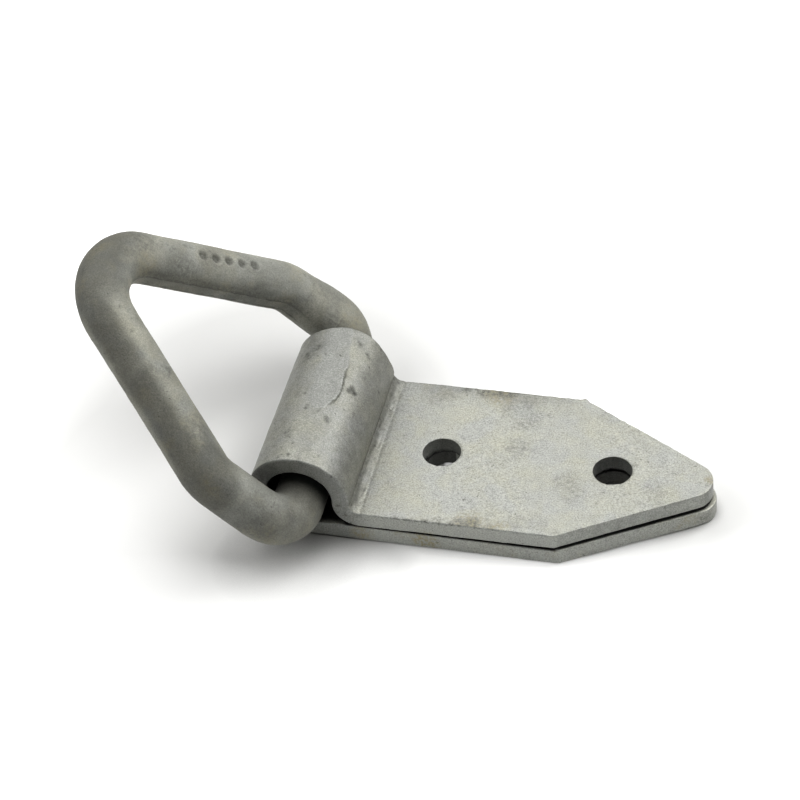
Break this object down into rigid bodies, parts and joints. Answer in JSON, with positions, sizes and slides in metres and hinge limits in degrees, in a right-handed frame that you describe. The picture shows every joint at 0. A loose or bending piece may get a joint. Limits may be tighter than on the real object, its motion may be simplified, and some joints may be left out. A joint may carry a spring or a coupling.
{
  "type": "bolt-on lashing ring",
  "caption": "Hot-dip galvanised pad eye: a flat steel strap folded round the base bar of a forged five-sided ring that swings in the fold, with bolt holes through both leaves",
  "frame": {"origin": "midway between the two bolt holes, on the seat (the underside of the lower leaf)", "axes": "+X along the strap toward its pointed end, +Y across the strap along the ring's base bar, +Z off the seat"},
  "size_m": [0.2105, 0.1114, 0.0869],
  "materials": {
    "galvanised_strap": "hot-dip galvanised rolled flat bar, matt grey-green with a fine sandy grain and dark pits",
    "galvanised_ring": "hot-dip galvanised forging, darker mottled grey with brownish stains and faint runs"
  },
  "bodies": {
    "strap": {"folded_strap": "galvanised_strap"},
    "ring": {"lashing_ring": "galvanised_ring"}
  },
  "joints": [
    {"name": "ring_swing", "type": "hinge", "parent": "strap", "child": "ring", "pos_m": [-0.07035, 0, 0.01495], "axis": [0, 1, 0], "range_deg": [-46.2, 130.5]}
  ]
}
